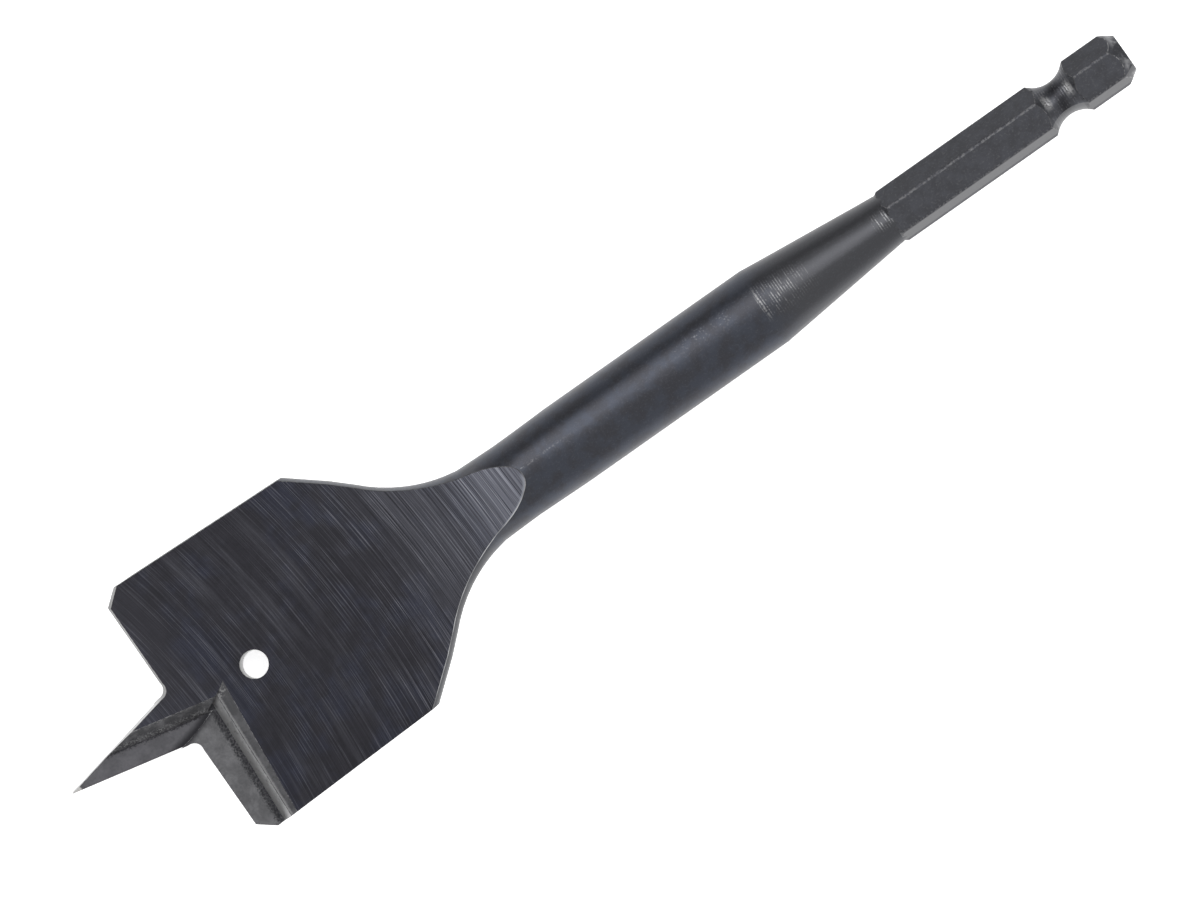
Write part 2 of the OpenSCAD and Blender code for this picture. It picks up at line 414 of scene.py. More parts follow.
def angle_round(tree, y, z):
    """Angle round the bit's axis from the middle of the nearer face, in radians."""
    return calc(tree, "ARCTAN2", turned_across(tree, y, z), calc(tree, "ABSOLUTE", z))


def off_waist(tree, x, y, z):
    """Distance outside the round waist, which opens a little towards the blade."""
    opened = product(tree, largest(tree, minus(tree, WAIST_ALONG, x), 0.0), NECK_FLARE)
    return minus(tree, minus(tree, distance(tree, y, z), WAIST_RADIUS), opened)


# Half the width of the soft border between a face's two sides
SIDE_BORDER = 0.5


def on_lower_side(tree, y, z):
    """Mask of the side of each face on which its chip channel lies."""
    return ramp(tree, turned_across(tree, y, z), SIDE_BORDER, -SIDE_BORDER)


def group(name, inputs, outputs):
    """A new shader node group of values: its tree, the sockets it is given and the sockets it gives."""
    tree = bpy.data.node_groups.new(name, "ShaderNodeTree")
    for label, value in inputs.items():
        socket = tree.interface.new_socket(name=label, in_out="INPUT", socket_type="NodeSocketFloat")
        socket.default_value = value
    for label in outputs:
        tree.interface.new_socket(name=label, in_out="OUTPUT", socket_type="NodeSocketFloat")
    return tree, tree.nodes.new("NodeGroupInput").outputs, tree.nodes.new("NodeGroupOutput").inputs


def use(tree, node_group, **values):
    """A shader node group placed in a tree with its own values: the sockets it gives."""
    made = tree.nodes.new("ShaderNodeGroup")
    made.node_tree = node_group
    for label, value in values.items():
        made.inputs[label.replace("_", " ")].default_value = value
    return made.outputs


# Shared effects

# The face grinding's arcs run round a middle ahead of the tip and a little to one side
ARC_MIDDLE = (-75.0, -6.0)
ARC_RADIUS = 120.0


def grind_arcs():
    """Grinding lines in arcs over the blade: fine hairlines, deeper scores and broad bands."""
    tree, given, out = group("grind_arcs", {"Line Spacing": 0.12, "Line Length": 18.0},
                             ["Hairlines", "Scores", "Bands"])
    x, y, z = parts_of(tree, bit_place(tree))
    past_x = minus(tree, x, ARC_MIDDLE[0])
    past_y = minus(tree, turned_across(tree, y, z), ARC_MIDDLE[1])
    arc = product(tree, calc(tree, "ARCTAN2", past_y, past_x), ARC_RADIUS)
    lines = calc(tree, "DIVIDE", distance(tree, past_x, past_y), given["Line Spacing"])
    lengths = calc(tree, "DIVIDE", arc, given["Line Length"])
    for label, fineness, share in (("Hairlines", 1.0, 1.0), ("Scores", 0.35, 0.7), ("Bands", 0.06, 0.6)):
        stretched = vector_of(tree, product(tree, lines, fineness), product(tree, lengths, share), z)
        join(tree, noise(tree, stretched, detail=3.0, roughness=0.65), out[label])
    return tree


def oxide_mottle():
    """Cloudy and grainy variation of the dark finish, and sparse bare specks."""
    tree, given, out = group("oxide_mottle", {"Cloud Size": 6.0, "Grain Size": 0.2, "Speck Size": 0.3},
                             ["Clouds", "Grain", "Specks"])
    place = bit_place(tree)
    kinds = (("Clouds", "Cloud Size", 3.0), ("Grain", "Grain Size", 3.0), ("Specks", "Speck Size", 1.0))
    for label, size, detail in kinds:
        scale = calc(tree, "DIVIDE", 1.0, given[size])
        join(tree, noise(tree, place, scale, detail, roughness=0.6), out[label])
    return tree


# Patches where the lathe rings are rubbed out: how much they repeat along and across the bit
PATCH_ALONG = 1.2
PATCH_ACROSS = 0.6


def turning_rings():
    """Lathe rings round the bit's axis, with patches where they are rubbed out."""
    tree, given, out = group("turning_rings", {"Pitch": 0.36}, ["Rings"])
    x, y, z = parts_of(tree, bit_place(tree))
    wave = calc(tree, "SINE", product(tree, calc(tree, "DIVIDE", x, given["Pitch"]), 2 * math.pi))
    stretched = vector_of(tree, product(tree, x, PATCH_ALONG), product(tree, y, PATCH_ACROSS),
                          product(tree, z, PATCH_ACROSS))
    patches = ramp(tree, noise(tree, stretched), *WIDE_SPAN)
    join(tree, product(tree, wave, patches), out["Rings"])
    return tree


# The bare tip's border in millimetres: how ragged it is, and over what distance it fades
TIP_RAGGED = 0.7
TIP_FADE = (0.2, 0.45)


def bare_tip():
    """Mask of the very tip, where the dark finish is worn off."""
    tree, given, out = group("bare_tip", {"Length": 1.3}, ["Bare"])
    place = bit_place(tree)
    x = parts_of(tree, place)[0]
    ragged = plus(tree, x, product(tree, noise(tree, place, scale=2.5), TIP_RAGGED))
    past = minus(tree, ragged, given["Length"])
    join(tree, ramp(tree, past, *TIP_FADE, 1.0, 0.0), out["Bare"])
    return tree


def channel_places():
    """Distances in the chip channels: past a lip's valley, in from the point's edge, out from the step."""
    tree, given, out = group("channel_places", {"Raggedness": 0.0},
                             ["Past Valley", "Past Edge", "Past Step"])
    place = bit_place(tree)
    x, y, z = parts_of(tree, place)
    turned_y = turned_across(tree, y, z)
    wander = minus(tree, noise(tree, place, scale=4.5, detail=3.0, roughness=0.7), 0.5)
    ragged = product(tree, wander, given["Raggedness"])
    valley_x = product(tree, minus(tree, x, LIP_ALONG + LIP_LAND), math.cos(CHANNEL_TURN))
    valley_y = product(tree, plus(tree, turned_y, HALF_WIDTH), math.sin(CHANNEL_TURN))
    past_valley = minus(tree, valley_x, valley_y)
    edge_x = product(tree, minus(tree, x, POINT_EDGE_START), math.sin(POINT_HALF_ANGLE))
    past_edge = plus(tree, edge_x, product(tree, turned_y, math.cos(POINT_HALF_ANGLE)))
    step_x = minus(tree, x, STEP_MIDDLE[0])
    step_y = minus(tree, turned_y, STEP_MIDDLE[1])
    past_step = minus(tree, distance(tree, step_x, step_y), STEP_RADIUS)
    for label, value in (("Past Valley", past_valley), ("Past Edge", past_edge), ("Past Step", past_step)):
        join(tree, plus(tree, value, ragged), out[label])
    return tree


GRIND = grind_arcs()
MOTTLE = oxide_mottle()
RINGS = turning_rings()
BARE = bare_tip()
CHANNELS = channel_places()

# Steel colours, in linear light
# Dark smudges and scores on the faces, and painted shade along the step on the lands
DIRT_AND_SHADE = (0.017, 0.017, 0.019)
OXIDE = (0.0265, 0.026, 0.031)
OXIDE_BLUE = (0.028, 0.0295, 0.041)
OXIDE_RUBBED = (0.047, 0.047, 0.055)
GROUND_LINE = (0.175, 0.178, 0.2)
# The run-out's ground lines, lightened as painted light where the face rises
RUNOUT_BRIGHT = (0.18, 0.186, 0.222)
RUNOUT_SCORE = (0.05, 0.05, 0.06)
# Light ground lines in the run-out, and the painted highlight along its lower rim
RUNOUT_LINE_AND_RIM_HIGHLIGHT = (0.36, 0.37, 0.42)
LAND = (0.092, 0.092, 0.096)
LAND_DULL = (0.067, 0.067, 0.07)
POINT_LAND_LIGHT = (0.075, 0.074, 0.08)
POINT_LAND_DULL = (0.058, 0.0575, 0.062)
# Painted light on the lip's wall, at its foot and towards its top
WALL_PAINTED_LIGHT_LOW = (0.46, 0.46, 0.465)
WALL_PAINTED_LIGHT_HIGH = (0.58, 0.58, 0.585)
BEVEL = (0.085, 0.085, 0.09)
BEVEL_LIGHT = (0.125, 0.125, 0.131)
POINT_WALL_DARK = (0.085, 0.085, 0.09)
POINT_WALL_LIGHT = (0.15, 0.15, 0.157)
SPECK = (0.3, 0.3, 0.305)
BARE_STEEL = (0.31, 0.305, 0.3)
DRILLED = (0.6, 0.6, 0.6)
FLANK_DARK = (0.12, 0.12, 0.122)
FLANK = (0.17, 0.17, 0.17)
POINT_FLANK = (0.42, 0.42, 0.42)
BAR = (0.052, 0.053, 0.061)
BAR_BLUE = (0.058, 0.063, 0.078)
BAR_LIGHT = (0.105, 0.108, 0.122)
# Painted shade on the shoulder
SHOULDER_PAINTED_SHADE = (0.02, 0.02, 0.023)
CONE = (0.068, 0.069, 0.075)
HEX = (0.064, 0.065, 0.072)
HEX_BLUE = (0.075, 0.077, 0.087)
HEX_LIGHT = (0.125, 0.126, 0.133)
# Painted light on the hex's lower side flat
HEX_SIDE_PAINTED_LIGHT = (0.15, 0.151, 0.156)
RIDGE = (0.125, 0.125, 0.131)
# Painted shade in the groove's middle
GROOVE_PAINTED_SHADE = (0.024, 0.024, 0.027)
# Painted highlights on the groove's walls, and on the rubbed end
PAINTED_HIGHLIGHT_AND_RUB = (0.5, 0.5, 0.505)
# Rubbed wear, and painted glints on the cone's rings and the line where it starts
WEAR_AND_GLINT = (0.26, 0.26, 0.265)
WORN_LEFT = (0.06, 0.06, 0.064)
# Painted highlight on the neck's edges on the lower side
PAINTED_RIM_HIGHLIGHT = (0.6, 0.6, 0.61)

# Finishes: places are in millimetres and radians, and a ramp over a noise picks the share of it that shows

# Depths of the fine relief, in millimetres
FINE_RELIEF = 0.006
GROUND_RELIEF = 0.008
WALL_RELIEF = 0.01
COARSE_RELIEF = 0.02


def steel(name):
    """A new metal material: itself, its tree and its shader."""
    material = bpy.data.materials.new(name)
    material.use_nodes = True
    shader = material.node_tree.nodes["Principled BSDF"]
    shader.inputs["Metallic"].default_value = 1
    return material, material.node_tree, shader


def paint(tree, shader, colour):
    """Gives the shader its colour."""
    join(tree, colour, shader.inputs["Base Color"])


def dull(tree, shader, pattern, low, high):
    """Gives the shader a roughness that follows a noise from one level to another."""
    join(tree, ramp(tree, pattern, *NOISE_SPAN, low, high), shader.inputs["Roughness"])


def relief(tree, shader, height, depth):
    """Fine relief on the surface: a height between 0 and 1 over a depth in millimetres."""
    made = tree.nodes.new("ShaderNodeBump")
    made.inputs["Strength"].default_value = 1
    made.inputs["Distance"].default_value = depth * MM
    tree.links.new(height, made.inputs["Height"])
    tree.links.new(made.outputs["Normal"], shader.inputs["Normal"])


def with_bare_tip(tree, colour):
    """A colour that turns to bare steel at the very tip."""
    return blend(tree, use(tree, BARE)["Bare"], colour, BARE_STEEL)


# Along the ground face: where lines grow clear, the point is rubbed, the run-out's lines and painted light
# grow, and a painted highlight shows along its rim
LINES_GROW = (34, 52)
POINT_RUB = (24, 14)
RUNOUT_GREYS = (44, 60)
RUNOUT_LINES_AND_LIGHT = (56, RUNOUT_END)
RIM_HIGHLIGHT_GROWS = (60.5, 62)
RIM_HIGHLIGHT_OFF_WAIST = (-0.16, -0.04)


def ground_face():
    """The blade's faces: dark and smudged, with ground arcs that show most in the run-out, painted light where
    the run-out rises, and a painted highlight along its lower rim.
    """
    material, tree, shader = steel("ground_face")
    grind = use(tree, GRIND)
    mottle = use(tree, MOTTLE, Cloud_Size=7.0, Grain_Size=1.6)
    x, y, z = parts_of(tree, bit_place(tree))
    dark = blend(tree, ramp(tree, mottle["Clouds"], 0.42, 0.62), OXIDE, OXIDE_BLUE)
    smudged = blend(tree, ramp(tree, mottle["Grain"], 0.6, 0.36, 0.0, 0.3), dark, DIRT_AND_SHADE)
    near_point = ramp(tree, x, *POINT_RUB, 0.0, 0.5)
    banded = ramp(tree, grind["Bands"], 0.5, 0.72, 0.0, 0.7)
    rubbed = blend(tree, largest(tree, banded, near_point), smudged, OXIDE_RUBBED)
    shown = ramp(tree, x, *LINES_GROW, 0.4, 1.0)
    patchy = ramp(tree, mottle["Clouds"], 0.36, 0.6, 0.35, 1.0)
    hairs = product(tree, ramp(tree, grind["Hairlines"], 0.48, 0.7), ramp(tree, grind["Scores"], 0.36, 0.6))
    lined = blend(tree, product(tree, hairs, shown, patchy), rubbed, GROUND_LINE)
    scores = product(tree, ramp(tree, grind["Hairlines"], 0.47, 0.34), shown, 0.9)
    scratched = blend(tree, scores, lined, DIRT_AND_SHADE)
    bright = blend(tree, ramp(tree, grind["Scores"], 0.56, 0.36, 0.0, 0.4), RUNOUT_BRIGHT, RUNOUT_SCORE)
    streaked = blend(tree, ramp(tree, grind["Hairlines"], 0.5, 0.7), bright, RUNOUT_LINE_AND_RIM_HIGHLIGHT)
    scored = blend(tree, ramp(tree, grind["Hairlines"], 0.47, 0.32), streaked, RUNOUT_SCORE)
    # The run-out's ground lines grow brighter, with painted light where the face rises
    runout_lines_and_light = plus(tree, ramp(tree, x, *RUNOUT_GREYS, 0.0, 0.28), ramp(tree, x, *RUNOUT_LINES_AND_LIGHT, 0.0, 0.72))
    toned = blend(tree, runout_lines_and_light, scratched, scored)
    # Painted highlight: a light line along the run-out's lower rim beside the waist
    at_waist = ramp(tree, off_waist(tree, x, y, z), *RIM_HIGHLIGHT_OFF_WAIST)
    painted_rim_highlight = product(tree, at_waist, ramp(tree, x, *RIM_HIGHLIGHT_GROWS), on_lower_side(tree, y, z), 0.7)
    paint(tree, shader, blend(tree, painted_rim_highlight, toned, RUNOUT_LINE_AND_RIM_HIGHLIGHT))
    join(tree, ramp(tree, grind["Scores"], *EVEN_SPAN, 0.36, 0.48), shader.inputs["Roughness"])
    relief(tree, shader, plus(tree, grind["Hairlines"], grind["Scores"]), GROUND_RELIEF)
    return material


# Where the lands are darker, and the painted shade along the step: distances past the valley, in from the
# point's edge and out from the step
VALLEY_DARK = (-1.15, -0.45)
POINT_VALLEY_DARK = (POINT_LAND - 0.4, POINT_LAND)
STEP_SHADE = -0.2
STEP_SHADE_WIDTH = 1.05
STEP_BORDER = (-0.3, 0.0)


def ground_land():
    """The lands behind the cutting edges: plain ground steel, darker towards the valleys, with painted shade
    along the step.
    """
    material, tree, shader = steel("ground_land")
    mottle = use(tree, MOTTLE, Cloud_Size=2.5, Grain_Size=0.25)
    places = use(tree, CHANNELS, Raggedness=1.5)
    clean = use(tree, CHANNELS)
    on_lip = ramp(tree, clean["Past Step"], *STEP_BORDER)
    on_point = ramp(tree, clean["Past Step"], *STEP_BORDER, 1.0, 0.0)
    clouds = ramp(tree, mottle["Clouds"], *EVEN_SPAN)
    lip_tone = blend(tree, clouds, LAND_DULL, LAND)
    point_tone = blend(tree, clouds, POINT_LAND_DULL, POINT_LAND_LIGHT)
    plain = blend(tree, on_point, lip_tone, point_tone)
    peppered = ramp(tree, mottle["Grain"], *WIDE_SPAN, 0.6, 1.0)
    valley = product(tree, ramp(tree, places["Past Valley"], *VALLEY_DARK), on_lip, peppered)
    point_valley = product(tree, ramp(tree, places["Past Edge"], *POINT_VALLEY_DARK), on_point)
    # Painted shade: a dark band along the curved step between the two lands
    step = near(tree, clean["Past Step"], STEP_SHADE, STEP_SHADE_WIDTH)
    valley_dark_and_step_shade = product(tree, largest(tree, valley, point_valley, step), 0.97)
    paint(tree, shader, with_bare_tip(tree, blend(tree, valley_dark_and_step_shade, plain, DIRT_AND_SHADE)))
    dull(tree, shader, mottle["Grain"], 0.4, 0.52)
    relief(tree, shader, mottle["Grain"], FINE_RELIEF)
    return material


# Where the painted light on the lip's wall grows: distances past the valley
WALL_LIGHT_RISE = (0.2, WALL_WIDTH)


def lip_wall():
    """The wall behind a lip's valley: painted light, darker at its foot and brightest towards its top."""
    material, tree, shader = steel("lip_wall")
    mottle = use(tree, MOTTLE, Cloud_Size=1.2)
    places = use(tree, CHANNELS, Raggedness=0.5)
    painted_light_rise = ramp(tree, places["Past Valley"], *WALL_LIGHT_RISE)
    # Painted light: the wall is coloured light, rising towards its top
    plain = blend(tree, painted_light_rise, WALL_PAINTED_LIGHT_LOW, WALL_PAINTED_LIGHT_HIGH)
    stains = ramp(tree, mottle["Clouds"], 0.55, 0.75, 0.0, 0.6)
    paint(tree, shader, blend(tree, stains, plain, POINT_WALL_LIGHT))
    dull(tree, shader, mottle["Grain"], 0.42, 0.56)
    relief(tree, shader, mottle["Grain"], WALL_RELIEF)
    return material


# Where the bevel is rubbed: distances past the valley and out from the step
BEVEL_FOOT = (WALL_WIDTH + 0.15, WALL_WIDTH + 0.4)
BEVEL_INNER_END = (0.0, 0.7)


def lip_bevel():
    """The shallow bevel between a channel's wall and the face, rubbed at its foot and its inner end."""
    material, tree, shader = steel("lip_bevel")
    mottle = use(tree, MOTTLE, Cloud_Size=1.5)
    places = use(tree, CHANNELS, Raggedness=0.4)
    plain = blend(tree, ramp(tree, mottle["Clouds"], *EVEN_SPAN), BEVEL, BEVEL_LIGHT)
    foot = ramp(tree, places["Past Valley"], *BEVEL_FOOT, 0.7, 0.0)
    specks = ramp(tree, mottle["Specks"], 0.48, 0.6)
    inner = product(tree, ramp(tree, places["Past Step"], *BEVEL_INNER_END, 0.8, 0.0), specks)
    paint(tree, shader, blend(tree, largest(tree, foot, inner), plain, SPECK))
    dull(tree, shader, mottle["Grain"], 0.42, 0.56)
    relief(tree, shader, mottle["Grain"], WALL_RELIEF)
    return material


# Where the point's wall has specks: distances in from the point's edge
POINT_FOOT = POINT_LAND + 0.35
POINT_FOOT_WIDTH = 0.45
POINT_TOP_WIDTH = 0.3


def point_wall():
    """The wall behind the point's land: dark and mottled, with specks along its foot and its top."""
    material, tree, shader = steel("point_wall")
    mottle = use(tree, MOTTLE, Cloud_Size=1.2, Speck_Size=0.22)
    places = use(tree, CHANNELS, Raggedness=0.6)
    plain = blend(tree, ramp(tree, mottle["Clouds"], 0.4, 0.65), POINT_WALL_DARK, POINT_WALL_LIGHT)
    foot = near(tree, places["Past Edge"], POINT_FOOT, POINT_FOOT_WIDTH)
    top = product(tree, near(tree, places["Past Edge"], POINT_WALL_TOP, POINT_TOP_WIDTH), 0.6)
    specks = product(tree, largest(tree, foot, top), ramp(tree, mottle["Specks"], 0.45, 0.7))
    paint(tree, shader, with_bare_tip(tree, blend(tree, specks, plain, SPECK)))
    dull(tree, shader, mottle["Grain"], 0.42, 0.58)
    relief(tree, shader, mottle["Grain"], COARSE_RELIEF)
    return material


# Where the flanks change: along the point, and out from the hole's middle
POINT_FLANK_GROWS = (LIP_ALONG, LIP_ALONG - 2)
HOLE_WALL = (HOLE_RADIUS + 0.5, HOLE_RADIUS + 0.2)


def cut_flank():
    """The cut sides, flanks and the hole's wall: lighter steel with a fine grain."""
    material, tree, shader = steel("cut_flank")
    mottle = use(tree, MOTTLE, Cloud_Size=3.0)
    x, y = parts_of(tree, bit_place(tree))[:2]
    milled = blend(tree, ramp(tree, mottle["Grain"], *EVEN_SPAN), FLANK_DARK, FLANK)
    plain = blend(tree, ramp(tree, x, *POINT_FLANK_GROWS), milled, POINT_FLANK)
    off_hole = distance(tree, minus(tree, x, HOLE_ALONG), y)
    drilled = blend(tree, ramp(tree, off_hole, *HOLE_WALL), plain, DRILLED)
    paint(tree, shader, with_bare_tip(tree, drilled))
    dull(tree, shader, mottle["Clouds"], 0.36, 0.5)
    relief(tree, shader, mottle["Grain"], FINE_RELIEF)
    return material


# Along the bar: the shoulder's painted shade, the cone's tone, and the rings at the cone's two ends, which
# carry painted glints
SHOULDER_SHADE = (60, 55)
CONE_TONE = (CONE_START - 2, CONE_START + 5)
FIRST_RINGS = (CONE_START - 0.4, CONE_START)
FIRST_RINGS_FADE = (CONE_START + 2, CONE_START + 9)
LAST_RINGS = (CONE_END - 2.2, CONE_END - 1.2)

# The painted highlight line where the cone starts, the seam behind the run-out, and the scuffs ahead of the
# cone
LINE_ALONG = CONE_START + 0.1
LINE_WIDTH = 0.22
SEAM_STARTS = (RUNOUT_END - 1, RUNOUT_END + 0.5)
SEAM_FADES = (RUNOUT_END + 1, RUNOUT_END + 10)
SCUFFS_GROW = (CONE_START - 14, CONE_START - 8)
SCUFFS_END = (CONE_START, CONE_START - 0.5)

# Round the bar: the middle of each strip and how far it spreads to each side
FIRST_RINGS_ROUND = (0.06, 0.6)
LAST_RINGS_ROUND = (0.05, 0.45)
LINE_ROUND = (0.06, 0.62)
SEAM_ROUND = (0.13, 0.05)
SCUFFS_ROUND = (0.28, 0.3)


def turned_bar():
    """Neck, shank and cone: dark, with painted shade low on the shoulder, lathe rings with painted glints at
    both ends of the cone, a painted highlight line where it starts, a fine seam and scuffs.
    """
    material, tree, shader = steel("turned_bar")
    mottle = use(tree, MOTTLE, Cloud_Size=2.4)
    rings = use(tree, RINGS, Pitch=0.33)["Rings"]
    x, y, z = parts_of(tree, bit_place(tree))
    around = angle_round(tree, y, z)
    plain = blend(tree, ramp(tree, mottle["Clouds"], 0.38, 0.62), BAR, BAR_BLUE)
    # Painted shade low on the shoulder, on the side of the chip channel
    painted_shoulder_shade = product(tree, ramp(tree, x, *SHOULDER_SHADE), on_lower_side(tree, y, z), 0.8)
    shouldered = blend(tree, painted_shoulder_shade, plain, SHOULDER_PAINTED_SHADE)
    coned = blend(tree, ramp(tree, x, *CONE_TONE), shouldered, CONE)
    grained = blend(tree, ramp(tree, mottle["Grain"], *SPARSE_SPAN, 0.0, 0.4), coned, BAR_LIGHT)
    fading = ramp(tree, x, *FIRST_RINGS_FADE, 1.0, 0.0)
    first = product(tree, ramp(tree, x, *FIRST_RINGS), fading, near(tree, around, *FIRST_RINGS_ROUND))
    last = product(tree, ramp(tree, x, *LAST_RINGS, 0.0, 1.3), near(tree, around, *LAST_RINGS_ROUND))
    shown = largest(tree, first, last)
    # Painted glints: the rings show light only round the side where the highlight falls
    ridged = product(tree, ramp(tree, rings, 0.0, 0.8), ramp(tree, mottle["Grain"], *WIDE_SPAN), shown)
    ringed = blend(tree, ridged, grained, WEAR_AND_GLINT)
    seam = product(tree, near(tree, around, *SEAM_ROUND), ramp(tree, x, *SEAM_STARTS),
                   ramp(tree, x, *SEAM_FADES, 0.35, 0.0), ramp(tree, mottle["Specks"], 0.5, 0.66))
    # Painted highlight: a light line where the cone starts, round the side where the highlight falls
    cone_start_glint = product(tree, near(tree, x, LINE_ALONG, LINE_WIDTH), near(tree, around, *LINE_ROUND),
                   ramp(tree, mottle["Specks"], *WIDE_SPAN))
    scuffs = product(tree, near(tree, around, *SCUFFS_ROUND), ramp(tree, x, *SCUFFS_GROW),
                     ramp(tree, x, *SCUFFS_END), ramp(tree, mottle["Specks"], 0.58, 0.72),
                     ramp(tree, mottle["Clouds"], 0.42, 0.58), 0.4)
    paint(tree, shader, blend(tree, largest(tree, seam, cone_start_glint, scuffs), ringed, WEAR_AND_GLINT))
    dull(tree, shader, mottle["Grain"], 0.32, 0.42)
    relief(tree, shader, plus(tree, product(tree, rings, shown), mottle["Grain"]), FINE_RELIEF)
    return material


# On the hex: ridges and the groove's depth by radius, the side flat's painted light by angle, and the rubbed
# end with its painted highlight
RIDGE_RISE = (RIDGE_RADIUS - 0.06, RIDGE_RADIUS - 0.02)
GROOVE_DEPTH = (2.95, 3.1)
SIDE_FLAT_BORDER = (SIDE_FLAT_START, SIDE_FLAT_START - 0.03)
END_RUB_AND_HIGHLIGHT = (END_ALONG - 1.3, END_ALONG - 0.5)

# In the groove: distances from its middle, and the strips round it that carry painted highlights
GROOVE_BORDER = (2.7, 2.4)
GROOVE_SHADE_WIDTH = 1.3
GROOVE_HIGHLIGHT_OFF = 1.6
GROOVE_HIGHLIGHT_WIDTH = 0.75
GROOVE_HIGHLIGHT_ROUND = (0.12, 0.5)


def milled_hex():
    """Hex end: finely mottled flats with painted light on the lower side flat, rubbed ridges, a turned detent
    groove with painted shade in its middle and painted highlights on its walls, and a rubbed end with a
    painted highlight.
    """
    material, tree, shader = steel("milled_hex")
    mottle = use(tree, MOTTLE, Cloud_Size=1.6, Grain_Size=0.3)
    rings = use(tree, RINGS, Pitch=0.3)["Rings"]
    x, y, z = parts_of(tree, bit_place(tree))
    around = angle_round(tree, y, z)
    out = distance(tree, y, z)
    plain = blend(tree, ramp(tree, mottle["Clouds"], *EVEN_SPAN), HEX, HEX_BLUE)
    grainy = blend(tree, ramp(tree, mottle["Grain"], *SPARSE_SPAN, 0.0, 0.5), plain, HEX_LIGHT)
    speckled = ramp(tree, mottle["Specks"], 0.42, 0.6)
    off_groove = calc(tree, "ABSOLUTE", minus(tree, x, GROOVE_MIDDLE))
    groove = product(tree, ramp(tree, out, *GROOVE_DEPTH, 1.0, 0.0), ramp(tree, off_groove, *GROOVE_BORDER))
    # Painted shade: the groove's middle is coloured darker
    painted_groove_shade = product(tree, groove, near(tree, off_groove, 0.0, GROOVE_SHADE_WIDTH), 0.8)
    groove_shaded = blend(tree, painted_groove_shade, grainy, GROOVE_PAINTED_SHADE)
    groove_rings = product(tree, groove, ramp(tree, rings, 0.2, 0.9), speckled, 0.2)
    ringed = blend(tree, groove_rings, groove_shaded, WEAR_AND_GLINT)
    # Painted light: the flat on the lower side is coloured lighter
    painted_light_side_flat = product(tree, ramp(tree, around, *SIDE_FLAT_BORDER), 0.8)
    side_lit = blend(tree, painted_light_side_flat, ringed, HEX_SIDE_PAINTED_LIGHT)
    ridge = product(tree, ramp(tree, out, *RIDGE_RISE), speckled)
    ridged = blend(tree, ridge, side_lit, RIDGE)
    # Painted highlights: light spots on the groove's walls, round the side where the light falls
    painted_groove_highlights = product(tree, near(tree, off_groove, GROOVE_HIGHLIGHT_OFF, GROOVE_HIGHLIGHT_WIDTH),
                         near(tree, around, *GROOVE_HIGHLIGHT_ROUND), groove,
                         ramp(tree, mottle["Specks"], 0.36, 0.56, 0.35, 1.0))
    # The end is rubbed, and coloured lighter still as a painted highlight
    end_rub_and_highlight = product(tree, ramp(tree, x, *END_RUB_AND_HIGHLIGHT), ramp(tree, mottle["Clouds"], 0.44, 0.62), 0.4)
    paint(tree, shader, blend(tree, largest(tree, painted_groove_highlights, end_rub_and_highlight), ridged, PAINTED_HIGHLIGHT_AND_RUB))
    join(tree, ramp(tree, groove, 0.0, 1.0, 0.5, 0.36), shader.inputs["Roughness"])
    relief(tree, shader, plus(tree, product(tree, rings, groove), mottle["Grain"]), GROUND_RELIEF)
    return material


# Where the broken edges differ: across the neck, and along the neck, the hex and its end
UPPER_SIDE = (-3, 1)
NECK_STARTS = (SHOULDER_START - 2, SHOULDER_START + 2)
NECK_ENDS = (HEX_START, HEX_START - 2)
HEX_EDGES = (HEX_START - 2, HEX_START)
END_EDGES = (END_ALONG - 2.6, END_ALONG - 1.9)


def worn_edge():
    """Broken edges: rubbed in places, with painted shade on the upper side of the neck and a painted highlight
    on its lower side.
    """
    material, tree, shader = steel("worn_edge")
    mottle = use(tree, MOTTLE, Cloud_Size=3.0, Grain_Size=0.35)
    x, y, z = parts_of(tree, bit_place(tree))
    upper = ramp(tree, turned_across(tree, y, z), *UPPER_SIDE)
    neck = product(tree, ramp(tree, x, *NECK_STARTS), ramp(tree, x, *NECK_ENDS))
    # Painted shade: less rubbing shows on the upper side of the neck
    upper_painted_shade = product(tree, upper, neck, 0.75)
    on_hex = ramp(tree, x, *HEX_EDGES, 1.0, 0.5)
    on_end = ramp(tree, x, *END_EDGES, 0.0, 0.9)
    share = minus(tree, plus(tree, on_hex, on_end), upper_painted_shade)
    patches = ramp(tree, mottle["Clouds"], *WIDE_SPAN, 0.35, 1.0)
    bare = product(tree, ramp(tree, mottle["Grain"], 0.4, 0.62), patches, share)
    rubbed = blend(tree, bare, WORN_LEFT, WEAR_AND_GLINT)
    # Painted highlight along the neck's edges on the lower side
    painted_lower_rim_highlight = product(tree, neck, minus(tree, 1.0, upper), patches)
    paint(tree, shader, with_bare_tip(tree, blend(tree, painted_lower_rim_highlight, rubbed, PAINTED_RIM_HIGHLIGHT)))
    dull(tree, shader, mottle["Grain"], 0.5, 0.36)
    return material


# Studio

# Floor: size in metres, tone, the white that the camera sees and the bit mirrors, and where the latter fades
FLOOR_SIZE = 8
FLOOR_PALE = 0.9
FLOOR_LIFT = 0.8
FLOOR_SHEEN = 0.6
SHEEN_FADES = (12 * MM, 30 * MM)

# Surroundings: strength on the dim and the bright side, and how far each side reaches
WORLD_DIM = 0.36
WORLD_BRIGHT = 0.9
WORLD_SIDES = (-0.7, 0.7)

# Two soft lights, by their directions in the bit's frame, with distance and size in metres
LEFT_LIGHT_WAY = (-0.2, 0.5, 0.84)
TOP_LIGHT_WAY = (0.37, 0.14, 0.92)
SOFTBOX_DISTANCE = 1.0
SOFTBOX_SIZE = 0.62
SOFTBOX_POWER = 3.2


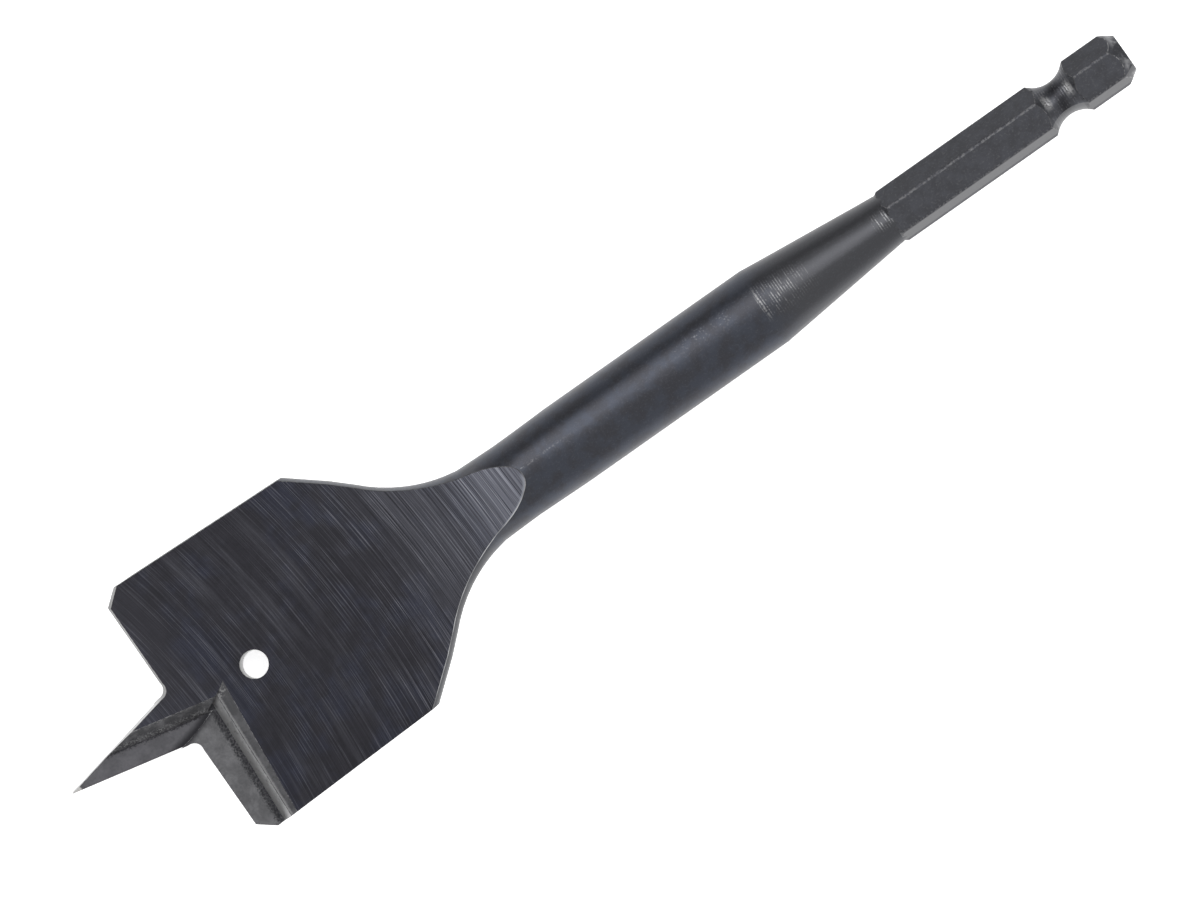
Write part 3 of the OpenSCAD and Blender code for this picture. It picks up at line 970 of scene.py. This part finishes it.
def pale_floor():
    """A plain floor that looks white and keeps the shadow. The bit mirrors it less to the upper left."""
    bpy.ops.object.select_all(action="DESELECT")
    bpy.ops.mesh.primitive_plane_add(size=FLOOR_SIZE, location=(0, 0, 0))
    floor = bpy.context.object
    floor.name = "floor"
    material = bpy.data.materials.new("pale_floor")
    material.use_nodes = True
    tree = material.node_tree
    shader = tree.nodes["Principled BSDF"]
    shader.inputs["Base Color"].default_value = (FLOOR_PALE, FLOOR_PALE, FLOOR_PALE, 1)
    shader.inputs["Roughness"].default_value = 1
    shader.inputs["Specular IOR Level"].default_value = 0
    shader.inputs["Emission Color"].default_value = (1, 1, 1, 1)
    rays = tree.nodes.new("ShaderNodeLightPath").outputs
    place = tree.nodes.new("ShaderNodeTexCoord").outputs["Object"]
    close = ramp(tree, share_along(tree, place, across), *SHEEN_FADES, 1.0, 0.0)
    seen = product(tree, rays["Is Camera Ray"], FLOOR_LIFT)
    mirrored = product(tree, rays["Is Glossy Ray"], FLOOR_SHEEN, close)
    join(tree, plus(tree, seen, mirrored), shader.inputs["Emission Strength"])
    floor.data.materials.append(material)


def studio_world():
    """Soft white surroundings, brighter on the side of the lower right."""
    world = bpy.data.worlds.new("studio")
    bpy.context.scene.world = world
    world.use_nodes = True
    tree = world.node_tree
    sky = tree.nodes["Background"]
    sky.inputs["Color"].default_value = (1, 1, 1, 1)
    way = tree.nodes.new("ShaderNodeTexCoord").outputs["Generated"]
    light = ramp(tree, share_along(tree, way, -across), *WORLD_SIDES, WORLD_DIM, WORLD_BRIGHT)
    seen = tree.nodes.new("ShaderNodeLightPath").outputs["Is Camera Ray"]
    join(tree, largest(tree, light, seen), sky.inputs["Strength"])


def softbox(name, towards):
    """A square soft light that faces the middle of the bit."""
    light = bpy.data.lights.new(name, "AREA")
    light.size = SOFTBOX_SIZE
    light.energy = SOFTBOX_POWER
    lamp = bpy.data.objects.new(name, light)
    bpy.context.scene.collection.objects.link(lamp)
    lamp.location = from_bit(END_ALONG / 2, 0, 0) + towards.normalized() * SOFTBOX_DISTANCE
    lamp.rotation_euler = towards.to_track_quat("Z", "Y").to_euler()


makers = (ground_face, ground_land, lip_wall, lip_bevel, point_wall,
          cut_flank, turned_bar, milled_hex, worn_edge)
place_camera()
piece = finished_bit({maker.__name__: maker() for maker in makers})
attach(piece, "root")
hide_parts("spade_bit")
pale_floor()
studio_world()
softbox("left_light", turn @ Vector(LEFT_LIGHT_WAY))
softbox("top_light", turn @ Vector(TOP_LIGHT_WAY))
bpy.context.scene.view_settings.view_transform = "Standard"
